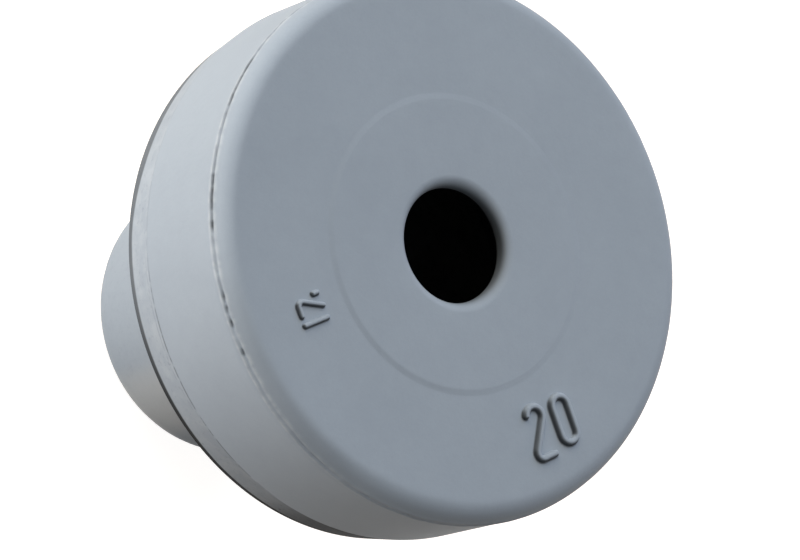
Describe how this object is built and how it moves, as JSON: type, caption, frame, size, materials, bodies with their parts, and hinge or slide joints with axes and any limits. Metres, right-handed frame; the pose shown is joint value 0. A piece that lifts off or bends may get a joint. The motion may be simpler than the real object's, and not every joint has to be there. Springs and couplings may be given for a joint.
{
  "type": "cable grommet",
  "caption": "Round push-in cable grommet with a thick drum-shaped head, a groove for the panel edge, a retaining bead, a lead-in cone and a hollow spout that the cable runs through.",
  "frame": {"origin": "centre of the spout's flat end, which the grommet stands on", "axes": "+Z along the grommet's axis, up out of the face with the cable hole; X and Y are free, because the shape is turned"},
  "size_m": [0.028, 0.028, 0.024],
  "materials": {
    "grey_elastomer": "matt blue-grey moulded elastomer"
  },
  "bodies": {
    "root": {"grommet": "grey_elastomer"}
  },
  "joints": []
}
